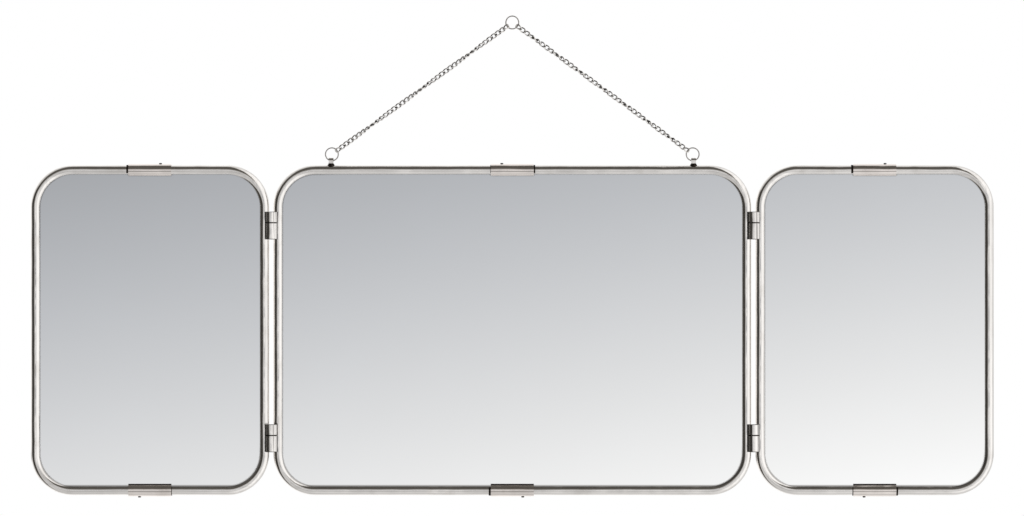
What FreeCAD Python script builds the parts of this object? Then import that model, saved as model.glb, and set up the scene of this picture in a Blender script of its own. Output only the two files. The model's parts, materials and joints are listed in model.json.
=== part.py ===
import FreeCAD, Part
import math
import os

import Sketcher
from FreeCAD import Placement, Rotation, Vector

# A trifold hanging mirror. Three round-cornered panes sit in frames of slotted steel tube, each frame
# bent as two U-shaped halves that meet inside a top and a bottom sleeve. Four barrel hinges join the
# side frames to the centre frame, and a chain runs from two eyelets up to a ring that hangs on a hook.
# The origin is where that ring rests on its hook: X to the viewer's right, Y away, Z up, millimetres.

SIZES = {
    # frames
    "panel_height": 330.0,
    "centre_width": 478.0,
    "side_width": 238.5,
    "corner_radius": 42.0,
    "frame_gap": 4.0,
    "tube_dia": 10.0,
    "tube_wall": 0.8,
    "slot_width": 6.0,
    "half_gap": 0.5,
    # panes
    "glass_thick": 3.0,
    "backing_thick": 2.5,
    "pane_inset": 1.0,
    # sleeves and their screws
    "sleeve_dia": 12.5,
    "sleeve_length": 43.0,
    "sleeve_fit": 0.15,
    "screw_offset": 10.5,
    "screw_dia": 2.2,
    "screw_fit": 0.1,
    "screw_length": 3.5,
    "head_dia": 3.4,
    "head_top_dia": 2.4,
    "head_height": 1.0,
    # barrel hinges
    "hinge_dia": 12.0,
    "upper_knuckle": 11.0,
    "lower_knuckle": 16.5,
    "knuckle_seam": 0.2,
    "hinge_top_inset": 46.5,
    "hinge_bottom_inset": 43.5,
    "pin_dia": 5.0,
    "pin_fit": 0.05,
    "pin_reach": 8.0,
    "bore_spare": 0.5,
    "saddle_thick": 1.2,
    "saddle_angle": 34.0,
    "braze_gap": 0.1,
    "barrel_chamfer": 0.5,
    # eyelets on the centre frame
    "eyelet_inset": 57.8,
    "eyelet_height": 4.6,
    "eyelet_width": 4.8,
    "eyelet_crown": 6.0,
    "eyelet_bore": 3.4,
    "foot_dia": 8.0,
    "foot_rise": 2.0,
    "foot_lip": 0.4,
    "foot_join": 1.0,
    "stud_dia": 3.0,
    "stud_length": 2.0,
    "stud_fit": 0.1,
    # rings and chain
    "ring_dia": 14.0,
    "ring_wire": 1.2,
    "ring_shift": 0.8,
    "ring_play": 0.2,
    "chain_drop": 131.8,
    "link_pitch": 4.9,
    "link_wire": 1.35,
    "link_width": 5.5,
    "link_saddle": 0.9,
    "link_play": 0.12,
    "left_half_turns": 3,
    "right_half_turns": 7,
}

PLACES = {
    "tube_radius": "Sizes.tube_dia / 2",
    "tube_bore": "Sizes.tube_dia / 2 - Sizes.tube_wall",
    "tube_rise": "Sizes.panel_height / 2 - Sizes.tube_dia / 2",
    "bend_radius": "Sizes.corner_radius - Sizes.tube_dia / 2",
    "half_start": "Sizes.half_gap / 2",
    "slot_half": "Sizes.slot_width / 2",
    "centre_reach": "Sizes.centre_width / 2 - Sizes.tube_dia / 2",
    "side_reach": "Sizes.side_width / 2 - Sizes.tube_dia / 2",
    "pane_rise": "Places.tube_rise - Sizes.pane_inset",
    "pane_corner": "Places.bend_radius - Sizes.pane_inset",
    "centre_pane_reach": "Places.centre_reach - Sizes.pane_inset",
    "side_pane_reach": "Places.side_reach - Sizes.pane_inset",
    "glass_back": "(Sizes.glass_thick - Sizes.backing_thick) / 2",
    "backing_back": "(Sizes.glass_thick + Sizes.backing_thick) / 2",
    "sleeve_radius": "Sizes.sleeve_dia / 2",
    "sleeve_bore": "Places.tube_radius + Sizes.sleeve_fit",
    "sleeve_start": "-Sizes.sleeve_length / 2",
    "screw_radius": "Sizes.screw_dia / 2",
    "head_radius": "Sizes.head_dia / 2",
    "head_top_radius": "Sizes.head_top_dia / 2",
    "screw_hole": "Sizes.screw_dia / 2 + Sizes.screw_fit",
    "screw_seat": "Places.tube_rise + Places.sleeve_radius",
    "barrel_radius": "Sizes.hinge_dia / 2",
    "saddle_inner": "Places.tube_radius + Sizes.braze_gap",
    "saddle_outer": "Places.saddle_inner + Sizes.saddle_thick",
    "hinge_to_tube": "Places.barrel_radius + Places.saddle_inner",
    "hinge_side": "Sizes.frame_gap / 2 + Places.tube_radius",
    "hinge_depth": "sqrt(Places.hinge_to_tube ^ 2 - Places.hinge_side ^ 2)",
    "hinge_x": "Sizes.centre_width / 2 + Sizes.frame_gap / 2",
    "pin_radius": "Sizes.pin_dia / 2",
    "pin_bore": "Places.pin_radius + Sizes.pin_fit",
    "pin_length": "Sizes.lower_knuckle + Sizes.knuckle_seam + Sizes.pin_reach",
    "upper_bore_depth": "Sizes.pin_reach + Sizes.bore_spare",
    "side_x": "Sizes.centre_width / 2 + Sizes.frame_gap + Sizes.side_width / 2",
    "ring_radius": "(Sizes.ring_dia - Sizes.ring_wire) / 2",
    "top_ring_z": "-(Sizes.ring_dia / 2 - Sizes.ring_wire)",
    "side_ring_z": "Places.top_ring_z - Sizes.chain_drop",
    "eyelet_x": "Sizes.centre_width / 2 - Sizes.eyelet_inset",
    "side_ring_x": "Places.eyelet_x - Sizes.ring_shift",
    "eyelet_z": "Places.side_ring_z - sqrt(Places.ring_radius ^ 2 - Sizes.ring_shift ^ 2)",
    "panel_top_z": "Places.eyelet_z - Sizes.eyelet_height",
    "panel_z": "Places.panel_top_z - Sizes.panel_height / 2",
    "upper_seam_z": "Places.panel_top_z - Sizes.hinge_top_inset - Sizes.upper_knuckle",
    "lower_seam_z": "Places.panel_top_z - Sizes.panel_height + Sizes.hinge_bottom_inset"
                    " + Sizes.lower_knuckle + Sizes.knuckle_seam",
    "crown_radius": "Sizes.eyelet_crown / 2",
    "eyelet_bore_radius": "Sizes.eyelet_bore / 2",
    "eyelet_half_width": "Sizes.eyelet_width / 2",
    "foot_radius": "Sizes.foot_dia / 2",
    "foot_neck": "Sizes.eyelet_width / 2",
    "foot_top": "Sizes.eyelet_height - Sizes.foot_rise",
    "lug_bottom": "Places.foot_top + Sizes.foot_join",
    "foot_edge": "Sizes.eyelet_height + Sizes.foot_lip",
    "foot_bottom": "Sizes.eyelet_height + Places.tube_radius"
                   " - sqrt(Places.tube_radius ^ 2 - Places.foot_radius ^ 2)",
    "tube_below_eyelet": "Sizes.eyelet_height + Places.tube_radius",
    "stud_radius": "Sizes.stud_dia / 2",
    "stud_hole": "Sizes.stud_dia / 2 + Sizes.stud_fit",
    "stud_bottom": "-(Sizes.eyelet_height + Sizes.tube_wall + Sizes.stud_length)",
    "stud_height": "Sizes.tube_wall + Sizes.stud_length + Sizes.foot_join",
}

UP = Vector(0, 0, 1)
ACROSS = Vector(0, 1, 0)
LEFT, RIGHT = -1, 1
TOP, BOTTOM = 1, -1
LINK_CORNERS = 8
LINK_SIDES = 6
RING_CORNERS = 20
RING_SIDES = 6
NEAR = 1e-6

doc = FreeCAD.newDocument("TrifoldMirror")


# ---- sheets, names and bindings ----

def fill_sheet(title, cells):
    """A sheet whose rows hold a word and its value, with the word as the value's alias."""
    sheet = doc.addObject("Spreadsheet::Sheet", title)
    for row, (word, content) in enumerate(cells.items(), start=1):
        sheet.set(f"A{row}", word)
        sheet.set(f"B{row}", str(content))
        sheet.setAlias(f"B{row}", word)
    doc.recompute()
    return sheet


def own_sheet_formulas(cells):
    """Formulas as the sheet of places wants them: its own words have no sheet name before them."""
    return {word: "=" + formula.replace("Places.", "") for word, formula in cells.items()}


sizes = fill_sheet("Sizes", SIZES)
places = fill_sheet("Places", own_sheet_formulas(PLACES))


def amount(word):
    """The number that a word of either sheet stands for."""
    sheet = sizes if word in SIZES else places
    return float(sheet.get(word))


def cell(word):
    """The expression that points at a word of either sheet, with an optional minus sign."""
    sign, bare = ("-", word[1:]) if word.startswith("-") else ("", word)
    return sign + ("Sizes." if bare in SIZES else "Places.") + bare


def bind(thing, **links):
    """Ties properties of an object to words of the sheets."""
    for prop, word in links.items():
        thing.setExpression(prop, cell(word))


def put(thing, x="0", y="0", z="0", axis=UP, turn=0):
    """Gives an object its place: each coordinate is an expression over the sheets."""
    thing.Placement = Placement(Vector(), Rotation(axis, turn))
    for letter, expression in (("x", x), ("y", y), ("z", z)):
        thing.setExpression(f"Placement.Base.{letter}", expression)
    return thing


# ---- sketches and features ----

def new_body(label):
    body = doc.addObject("PartDesign::Body", label)
    body.Label = label
    return body


def new_sketch(body, plane, name, lift=None):
    """A sketch on one of the body's own origin planes, lifted off it by a word of the sheets."""
    sketch = body.newObject("Sketcher::SketchObject", name)
    support = next(f for f in body.Origin.OriginFeatures if f.Role == plane)
    sketch.AttachmentSupport = (support, "")
    sketch.MapMode = "FlatFace"
    if lift:
        sketch.setExpression("AttachmentOffset.Base.z", cell(lift))
    return sketch


def rule(sketch, word, kind, *where):
    """A sized constraint that is tied to a word of the sheets."""
    value = -amount(word[1:]) if word.startswith("-") else amount(word)
    index = sketch.addConstraint(Sketcher.Constraint(kind, *where, value))
    sketch.setExpression(f"Constraints[{index}]", cell(word))


def join(sketch, kind, *where):
    sketch.addConstraint(Sketcher.Constraint(kind, *where))


def arc(centre, radius, start, end):
    return Part.ArcOfCircle(Part.Circle(centre, UP, radius), start, end)


def draw_circle(sketch, radius, x=None, y=None):
    """A circle of a named radius, on the origin or at named distances from it."""
    def shift(word):
        if not word:
            return 0.0
        return -amount(word[1:]) if word.startswith("-") else amount(word)

    index = sketch.addGeometry(Part.Circle(Vector(shift(x), shift(y), 0), UP, amount(radius)), False)
    rule(sketch, radius, "Radius", index)
    if x:
        rule(sketch, x, "DistanceX", -1, 1, index, 3)
    else:
        join(sketch, "PointOnObject", index, 3, -2)
    if y:
        rule(sketch, y, "DistanceY", -1, 1, index, 3)
    else:
        join(sketch, "PointOnObject", index, 3, -1)


def draw_slotted_ring(sketch, outer, bore, rise):
    """The section of a slotted tube: two arcs on one centre, joined by the two lips of the slot."""
    centre = Vector(0, amount(rise), 0)
    half = amount("slot_half")
    ends = []
    for word in (outer, bore):
        lip = math.asin(half / amount(word))
        ends.append((lip - math.pi / 2, 3 * math.pi / 2 - lip))
    for word, (start, end) in zip((outer, bore), ends):
        sketch.addGeometry(arc(centre, amount(word), start, end), False)

    def on_arc(word, angle):
        return centre + Vector(math.cos(angle), math.sin(angle), 0) * amount(word)

    for side in (0, 1):
        lip = Part.LineSegment(on_arc(outer, ends[0][side]), on_arc(bore, ends[1][side]))
        index = sketch.addGeometry(lip, False)
        join(sketch, "Coincident", index, 1, 0, side + 1)
        join(sketch, "Coincident", index, 2, 1, side + 1)
        join(sketch, "Vertical", index)
    join(sketch, "Coincident", 0, 3, 1, 3)
    join(sketch, "PointOnObject", 0, 3, -2)
    rule(sketch, rise, "DistanceY", -1, 1, 0, 3)
    rule(sketch, outer, "Radius", 0)
    rule(sketch, bore, "Radius", 1)
    rule(sketch, "slot_half", "DistanceX", -1, 1, 0, 1)
    rule(sketch, "slot_half", "DistanceX", 0, 2, -1, 1)


def draw_half_path(sketch, reach):
    """The centreline of one frame half: out along the top, round two bends and back along the bottom."""
    start, far = amount("half_start"), amount(reach)
    rise, bend = amount("tube_rise"), amount("bend_radius")
    turn = far - bend
    low = rise - bend
    sketch.addGeometry(Part.LineSegment(Vector(start, rise, 0), Vector(turn, rise, 0)), False)
    sketch.addGeometry(arc(Vector(turn, low, 0), bend, 0, math.pi / 2), False)
    sketch.addGeometry(Part.LineSegment(Vector(far, low, 0), Vector(far, -low, 0)), False)
    sketch.addGeometry(arc(Vector(turn, -low, 0), bend, -math.pi / 2, 0), False)
    sketch.addGeometry(Part.LineSegment(Vector(turn, -rise, 0), Vector(start, -rise, 0)), False)
    join(sketch, "Horizontal", 0)
    join(sketch, "Vertical", 2)
    join(sketch, "Horizontal", 4)
    join(sketch, "Tangent", 0, 2, 1, 2)
    join(sketch, "Tangent", 1, 1, 2, 1)
    join(sketch, "Tangent", 2, 2, 3, 2)
    join(sketch, "Tangent", 3, 1, 4, 1)
    join(sketch, "Equal", 1, 3)
    rule(sketch, "bend_radius", "Radius", 1)
    rule(sketch, "half_start", "DistanceX", -1, 1, 0, 1)
    rule(sketch, "tube_rise", "DistanceY", -1, 1, 0, 1)
    rule(sketch, reach, "DistanceX", -1, 1, 2, 1)
    rule(sketch, "half_start", "DistanceX", -1, 1, 4, 2)
    rule(sketch, "tube_rise", "DistanceY", 4, 2, -1, 1)


def draw_round_rectangle(sketch, reach, rise, corner):
    """A rectangle with four equal round corners, centred on the origin."""
    x, y, r = amount(reach), amount(rise), amount(corner)
    lines = [
        (Vector(x, r - y, 0), Vector(x, y - r, 0)),
        (Vector(x - r, y, 0), Vector(r - x, y, 0)),
        (Vector(-x, y - r, 0), Vector(-x, r - y, 0)),
        (Vector(r - x, -y, 0), Vector(x - r, -y, 0)),
    ]
    centres = [Vector(a * (x - r), b * (y - r), 0) for a, b in ((1, 1), (-1, 1), (-1, -1), (1, -1))]
    for start, end in lines:
        sketch.addGeometry(Part.LineSegment(start, end), False)
    for quarter, centre in enumerate(centres):
        sketch.addGeometry(arc(centre, r, quarter * math.pi / 2, (quarter + 1) * math.pi / 2), False)
    for quarter in range(4):
        join(sketch, "Tangent", quarter, 2, 4 + quarter, 1)
        join(sketch, "Tangent", 4 + quarter, 2, (quarter + 1) % 4, 1)
        join(sketch, "Horizontal" if quarter % 2 else "Vertical", quarter)
    for quarter in range(1, 4):
        join(sketch, "Equal", 4, 4 + quarter)
    rule(sketch, corner, "Radius", 4)
    rule(sketch, reach, "DistanceX", -1, 1, 0, 1)
    rule(sketch, rise, "DistanceY", -1, 1, 1, 1)
    rule(sketch, reach, "DistanceX", 2, 1, -1, 1)
    rule(sketch, rise, "DistanceY", 3, 1, -1, 1)


def draw_saddle(sketch):
    """The section of a knuckle's saddle: a ring sector about the tube, symmetric about the line to it."""
    distance, half = amount("hinge_to_tube"), math.radians(amount("saddle_angle"))
    centre = Vector(distance, 0, 0)
    radii = ("saddle_inner", "saddle_outer")
    for word in radii:
        sketch.addGeometry(arc(centre, amount(word), math.pi - half, math.pi + half), False)
    for side, angle in ((1, math.pi - half), (2, math.pi + half)):
        outward = Vector(math.cos(angle), math.sin(angle), 0)
        inner, outer = (centre + outward * amount(word) for word in radii)
        index = sketch.addGeometry(Part.LineSegment(inner, outer), False)
        join(sketch, "Coincident", index, 1, 0, side)
        join(sketch, "Coincident", index, 2, 1, side)
        spoke = sketch.addGeometry(Part.LineSegment(centre, inner), True)
        join(sketch, "Coincident", spoke, 1, 0, 3)
        join(sketch, "Coincident", spoke, 2, 0, side)
        join(sketch, "Parallel", spoke, index)
        turn = sketch.addConstraint(Sketcher.Constraint("Angle", spoke, angle))
        sign = "-" if side == 1 else "+"
        sketch.setExpression(f"Constraints[{turn}]", f"180 deg {sign} Sizes.saddle_angle * 1 deg")
    join(sketch, "Coincident", 0, 3, 1, 3)
    join(sketch, "PointOnObject", 0, 3, -1)
    rule(sketch, "hinge_to_tube", "DistanceX", -1, 1, 0, 3)
    for index, word in enumerate(radii):
        rule(sketch, word, "Radius", index)


def draw_lug(sketch):
    """The eyelet's lug seen along its bore: a round crown over straight sides, with the bore in it."""
    crown, bottom = amount("crown_radius"), amount("lug_bottom")
    sketch.addGeometry(arc(Vector(), crown, 0, math.pi), False)
    sketch.addGeometry(Part.LineSegment(Vector(-crown, 0, 0), Vector(-crown, -bottom, 0)), False)
    sketch.addGeometry(Part.LineSegment(Vector(-crown, -bottom, 0), Vector(crown, -bottom, 0)), False)
    sketch.addGeometry(Part.LineSegment(Vector(crown, -bottom, 0), Vector(crown, 0, 0)), False)
    join(sketch, "Coincident", 0, 3, -1, 1)
    join(sketch, "Tangent", 0, 2, 1, 1)
    join(sketch, "Coincident", 1, 2, 2, 1)
    join(sketch, "Coincident", 2, 2, 3, 1)
    join(sketch, "Tangent", 3, 2, 0, 1)
    join(sketch, "Vertical", 1)
    join(sketch, "Horizontal", 2)
    join(sketch, "Vertical", 3)
    rule(sketch, "crown_radius", "Radius", 0)
    rule(sketch, "lug_bottom", "DistanceY", 2, 1, -1, 1)
    draw_circle(sketch, "eyelet_bore_radius")


def draw_foot(sketch):
    """Half the section of the eyelet's flared foot, for turning about its upright axis."""
    corners = [
        (None, "foot_top"),
        ("foot_neck", "foot_top"),
        ("foot_radius", "foot_edge"),
        ("foot_radius", "foot_bottom"),
        (None, "foot_bottom"),
    ]
    points = [Vector(amount(x) if x else 0, -amount(z), 0) for x, z in corners]
    for index, start in enumerate(points):
        end = points[(index + 1) % len(points)]
        sketch.addGeometry(Part.LineSegment(start, end), False)
    for index, (x, z) in enumerate(corners):
        join(sketch, "Coincident", index - 1 if index else len(corners) - 1, 2, index, 1)
        rule(sketch, z, "DistanceY", index, 1, -1, 1)
        if x:
            rule(sketch, x, "DistanceX", -1, 1, index, 1)
        else:
            join(sketch, "PointOnObject", index, 1, -2)


def pad(body, sketch, length):
    feature = body.newObject("PartDesign::Pad", "Pad")
    feature.Profile = sketch
    bind(feature, Length=length)
    return feature


def pocket(body, sketch, length, outward):
    """Cuts a sketch out of the body, along the sketch's normal where outward is set."""
    doc.recompute()
    before = body.Shape.Volume
    feature = body.newObject("PartDesign::Pocket", "Pocket")
    feature.Profile = sketch
    feature.Reversed = outward
    bind(feature, Length=length)
    doc.recompute()
    if body.Shape.Volume >= before:
        raise ValueError(f"the pocket in {body.Label} cut nothing")
    return feature


# ---- frames, sleeves and panes ----

def drill_wall(body, end, radius, x):
    """A round hole through the outer wall of the top or bottom run of a frame half or sleeve."""
    sketch = new_sketch(body, "XY_Plane", "Hole", "tube_rise" if end == TOP else "-tube_rise")
    draw_circle(sketch, radius, x)
    pocket(body, sketch, "sleeve_dia", end == TOP)


def frame_half(label, reach, panel_x, side, screw_end, eyelet_end=None):
    """One U of slotted tube, built to the right of the panel's centre and turned over for the left."""
    body = new_body(label)
    section = new_sketch(body, "YZ_Plane", "TubeSection", "half_start")
    draw_slotted_ring(section, "tube_radius", "tube_bore", "tube_rise")
    path = new_sketch(body, "XZ_Plane", "TubePath")
    draw_half_path(path, reach)
    doc.recompute()
    pipe = body.newObject("PartDesign::AdditivePipe", "BentTube")
    pipe.Profile = section
    pipe.Spine = path
    drill_wall(body, screw_end, "screw_hole", "screw_offset")
    if eyelet_end:
        drill_wall(body, eyelet_end, "stud_hole", "eyelet_x")
    return put(body, panel_x, "0", "Places.panel_z", ACROSS, 0 if side == RIGHT else 180)


def sleeve(label, panel_x, end, screw_side):
    """A slotted sleeve over the joint of two frame halves, built at the top and turned over below."""
    body = new_body(label)
    section = new_sketch(body, "YZ_Plane", "SleeveSection", "sleeve_start")
    draw_slotted_ring(section, "sleeve_radius", "sleeve_bore", "tube_rise")
    pad(body, section, "sleeve_length")
    drill_wall(body, TOP, "screw_hole", "screw_offset" if screw_side == RIGHT else "-screw_offset")
    return put(body, panel_x, "0", "Places.panel_z", ACROSS, 0 if end == TOP else 180)


def screw(label, panel_x, end, screw_side):
    """A sleeve screw: a plain shank under a low tapered head, with its origin under the head."""
    shank = doc.addObject("Part::Cylinder", label + "_shank")
    bind(shank, Radius="screw_radius", Height="screw_length")
    put(shank, z="-Sizes.screw_length")
    head = doc.addObject("Part::Cone", label + "_head")
    bind(head, Radius1="head_radius", Radius2="head_top_radius", Height="head_height")
    whole = doc.addObject("Part::Fuse", label)
    whole.Label = label
    whole.Base = shank
    whole.Tool = head
    side = screw_side if end == TOP else -screw_side
    sign = "+" if end == TOP else "-"
    x = f"{panel_x} {'+' if side == RIGHT else '-'} Sizes.screw_offset"
    return put(whole, x, "0", f"Places.panel_z {sign} Places.screw_seat", ACROSS, 0 if end == TOP else 180)


def pane(label, reach, thick, back, panel_x):
    """A flat round-cornered pane: the mirror glass or the board behind it."""
    body = new_body(label)
    outline = new_sketch(body, "XZ_Plane", "Outline")
    draw_round_rectangle(outline, reach, "pane_rise", "pane_corner")
    pad(body, outline, thick)
    return put(body, panel_x, f"Places.{back}", "Places.panel_z")


def panel(name, side, reach, pane_reach, screw_side):
    """All the pieces of one framed mirror."""
    panel_x = "0" if side == 0 else ("-" if side == LEFT else "") + "Places.side_x"
    screw_end = TOP if screw_side == RIGHT else BOTTOM
    left_eyelet_end, right_eyelet_end = (BOTTOM, TOP) if side == 0 else (None, None)
    pieces = [
        frame_half(f"{name}_frame_left_half", reach, panel_x, LEFT, screw_end, left_eyelet_end),
        frame_half(f"{name}_frame_right_half", reach, panel_x, RIGHT, screw_end, right_eyelet_end),
        pane(f"{name}_mirror_glass", pane_reach, "glass_thick", "glass_back", panel_x),
        pane(f"{name}_backing_board", pane_reach, "backing_thick", "backing_back", panel_x),
    ]
    for end, word in ((TOP, "top"), (BOTTOM, "bottom")):
        pieces.append(sleeve(f"{name}_{word}_sleeve", panel_x, end, screw_side))
        pieces.append(screw(f"{name}_{word}_sleeve_screw", panel_x, end, screw_side))
    return pieces


# ---- hinges ----

def chamfer_rim(body, radius, level):
    """Breaks the edge of the round end face that lies at a height, both given as words."""
    doc.recompute()
    base = body.Tip
    names = []
    for number, edge in enumerate(base.Shape.Edges, start=1):
        curve = edge.Curve
        if not isinstance(curve, Part.Circle) or abs(curve.Radius - amount(radius)) > NEAR:
            continue
        if abs(curve.Center.z - (amount(level) if level else 0)) < NEAR:
            names.append(f"Edge{number}")
    if len(names) != 1:
        raise ValueError(f"{body.Label} has {len(names)} rims at its {level or 'bottom'}")
    feature = body.newObject("PartDesign::Chamfer", "RimChamfer")
    feature.Base = (base, names)
    bind(feature, Size="barrel_chamfer")


def knuckle(label, height, bore_depth, end, turn, x, z):
    """Half a barrel hinge: a bored barrel with a saddle that is brazed to its frame tube."""
    body = new_body(label)
    barrel = new_sketch(body, "XY_Plane", "Barrel")
    draw_circle(barrel, "barrel_radius")
    pad(body, barrel, height)
    chamfer_rim(body, "barrel_radius", height if end == TOP else None)
    saddle = new_sketch(body, "XY_Plane", "Saddle")
    draw_saddle(saddle)
    pad(body, saddle, height)
    bore = new_sketch(body, "XY_Plane", "Bore")
    draw_circle(bore, "pin_bore")
    pocket(body, bore, bore_depth, True)
    put(body, x, "-Places.hinge_depth", z, UP, 0)
    body.setExpression("Placement.Rotation.Angle", turn)
    return body


def hinge(name, side, seam):
    """One hinge: the side frame's knuckle stands on the centre frame's, round a pin pressed into it."""
    x = f"{'-' if side == LEFT else ''}Places.hinge_x"
    lean = "atan(Places.hinge_depth / Places.hinge_side)"
    toward_right, toward_left = lean, f"180 deg - {lean}"
    centre_turn, side_turn = (toward_right, toward_left) if side == LEFT else (toward_left, toward_right)
    base = f"Places.{seam} - Sizes.lower_knuckle - Sizes.knuckle_seam"
    upper = knuckle(
        f"{name}_side_knuckle", "upper_knuckle", "upper_bore_depth", TOP, side_turn, x, f"Places.{seam}"
    )
    lower = knuckle(
        f"{name}_centre_knuckle", "lower_knuckle", "lower_knuckle", BOTTOM, centre_turn, x, base
    )
    pin = doc.addObject("Part::Cylinder", f"{name}_pin")
    pin.Label = f"{name}_pin"
    bind(pin, Radius="pin_radius", Height="pin_length")
    put(pin, x, "-Places.hinge_depth", base)
    return [upper, lower, pin]


# ---- eyelets, rings and chain ----

def eyelet(label, side):
    """A lug with a cross bore on a flared foot that fits the tube, and a stud into the tube."""
    body = new_body(label)
    lug = new_sketch(body, "YZ_Plane", "Lug", "-eyelet_half_width")
    draw_lug(lug)
    pad(body, lug, "eyelet_width")
    foot = new_sketch(body, "XZ_Plane", "Foot")
    draw_foot(foot)
    turned = body.newObject("PartDesign::Revolution", "TurnedFoot")
    turned.Profile = foot
    turned.ReferenceAxis = (foot, ["V_Axis"])
    turned.Angle = 360
    seat = new_sketch(body, "YZ_Plane", "Seat", "-foot_radius")
    draw_circle(seat, "saddle_inner", None, "-tube_below_eyelet")
    pocket(body, seat, "foot_dia", True)
    stud = new_sketch(body, "XY_Plane", "Stud", "stud_bottom")
    draw_circle(stud, "stud_radius")
    pad(body, stud, "stud_height")
    return put(body, f"{'-' if side == LEFT else ''}Places.eyelet_x", "0", "Places.eyelet_z")


def bent_wire(points, wire, sides, upright):
    """A closed loop of wire bent at points, with a flat facet inward. upright is the loop's own normal."""
    rims = []
    for index, point in enumerate(points):
        before = (point - points[index - 1]).normalize()
        after = (points[(index + 1) % len(points)] - point).normalize()
        along = (before + after).normalize()
        normal = (upright - along * upright.dot(along)).normalize()
        inward = along.cross(normal)
        mitre = 1 / along.dot(before)
        rim = []
        for side in range(sides):
            angle = 2 * math.pi * (side + 0.5) / sides
            rim.append(point + (inward * mitre * math.cos(angle) + normal * math.sin(angle)) * wire)
        rims.append(rim)
    faces = []
    for index, rim in enumerate(rims):
        following = rims[(index + 1) % len(rims)]
        for side in range(sides):
            near, far = rim[side], rim[(side + 1) % sides]
            next_near, next_far = following[side], following[(side + 1) % sides]
            for corners in ((near, next_near, next_far), (near, next_far, far)):
                faces.append(Part.Face(Part.makePolygon([*corners, corners[0]])))
    solid = Part.Solid(Part.Shell(faces))
    if solid.Volume < 0:
        solid.reverse()
    return solid


def round_wire_radius(wire, sides):
    """The corner radius of a faceted wire whose section has the area of the round wire."""
    return wire / 2 * math.sqrt(2 * math.pi / (sides * math.sin(2 * math.pi / sides)))


def ring(label, x, z):
    """A plain wire ring in the plane of the mirror."""
    step = 2 * math.pi / RING_CORNERS
    radius = amount("ring_radius") / math.cos(step / 2)
    turns = [step * (corner + 0.5) for corner in range(RING_CORNERS)]
    points = [Vector(math.cos(turn), 0, math.sin(turn)) * radius for turn in turns]
    wire = round_wire_radius(amount("ring_wire"), RING_SIDES)
    whole = doc.addObject("Part::Feature", label)
    whole.Label = label
    whole.Shape = bent_wire(points, wire, RING_SIDES, ACROSS)
    return put(whole, x, "0", z)


def link_points(length, width, rise):
    """The centreline of a curb link along X: an oval whose four quarters bend up and down by turns."""
    step = 2 * math.pi / LINK_CORNERS
    spread = 1 / math.cos(step / 2)
    points = []
    for corner in range(LINK_CORNERS):
        turn = step * (corner + 0.5)
        oval = Vector(length * math.cos(turn), width * math.sin(turn), 0) * spread
        points.append(oval + UP * rise * math.sin(2 * turn))
    return points


def end_bar_tilt(width, rise):
    """How far the two end bars of a link lean out of the link's own plane, in degrees."""
    step = 2 * math.pi / LINK_CORNERS
    return math.degrees(math.atan2(rise * math.sin(step), width * math.tan(step / 2)))


def chain_run(label, side, half_turns):
    """One run of twisted curb chain, from its eyelet ring to the top ring, as separate linked solids."""
    wire, ring_wire = amount("link_wire"), amount("ring_wire")
    start = Vector(side * amount("side_ring_x"), 0, amount("side_ring_z"))
    end = Vector(0, 0, amount("top_ring_z"))
    distance = (end - start).Length
    hook = amount("ring_radius") - (wire + ring_wire) / 2 - amount("ring_play")
    crossing = wire + amount("link_play")
    run = distance - 2 * hook
    count = round((run - crossing) / amount("link_pitch"))
    pitch = (run - crossing) / count
    length = (pitch + crossing) / 2
    width = (amount("link_width") - wire) / 2
    rise = amount("link_saddle")
    bar_tilt = end_bar_tilt(width, rise)
    first_turn = bar_tilt - 90
    whole_turn = 180 * half_turns + 2 * bar_tilt
    along = (end - start).normalize()
    lay = Rotation(along, Vector(0, 0, -1).cross(along), ACROSS, "XZY")
    wire_radius = round_wire_radius(wire, LINK_SIDES)
    link = bent_wire(link_points(length, width, rise), wire_radius, LINK_SIDES, UP)
    links = []
    for index in range(count):
        twist = Rotation(Vector(1, 0, 0), first_turn - whole_turn * index / (count - 1))
        copy = link.copy()
        copy.Placement = Placement(along * (hook + length + index * pitch), lay * twist)
        links.append(copy)
    whole = doc.addObject("Part::Feature", label)
    whole.Label = label
    whole.Shape = Part.makeCompound(links)
    sign = "-" if side == LEFT else ""
    return put(whole, f"{sign}Places.side_ring_x", "0", "Places.side_ring_z")


def hanger():
    """The two eyelet rings, the two chain runs and the top ring."""
    return [
        ring("top_hanging_ring", "0", "Places.top_ring_z"),
        ring("left_eyelet_ring", "-Places.side_ring_x", "Places.side_ring_z"),
        ring("right_eyelet_ring", "Places.side_ring_x", "Places.side_ring_z"),
        chain_run("left_chain", LEFT, amount("left_half_turns")),
        chain_run("right_chain", RIGHT, amount("right_half_turns")),
    ]


# ---- the whole mirror ----

def build():
    pieces = panel("left", LEFT, "side_reach", "side_pane_reach", RIGHT)
    pieces += panel("centre", 0, "centre_reach", "centre_pane_reach", LEFT)
    pieces += panel("right", RIGHT, "side_reach", "side_pane_reach", RIGHT)
    for side, word in ((LEFT, "left"), (RIGHT, "right")):
        pieces += hinge(f"{word}_upper_hinge", side, "upper_seam_z")
        pieces += hinge(f"{word}_lower_hinge", side, "lower_seam_z")
        pieces.append(eyelet(f"{word}_eyelet", side))
    return pieces + hanger()


def check(pieces):
    """Stops where an object of the document has failed or a piece has no sound solid."""
    for thing in doc.Objects:
        if "Invalid" in thing.State or "Error" in thing.State:
            raise ValueError(f"{thing.Label} has failed: {thing.State}")
    for piece in pieces:
        shape = piece.Shape
        if shape.isNull() or not shape.isValid() or not shape.Solids:
            raise ValueError(f"{piece.Label} has no valid solid")


def write(pieces):
    os.makedirs("parts", exist_ok=True)
    for piece in pieces:
        piece.Shape.exportStep(f"parts/{piece.Label}.step")


all_pieces = build()
doc.recompute()
check(all_pieces)
write(all_pieces)
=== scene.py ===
import json
import math

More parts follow.
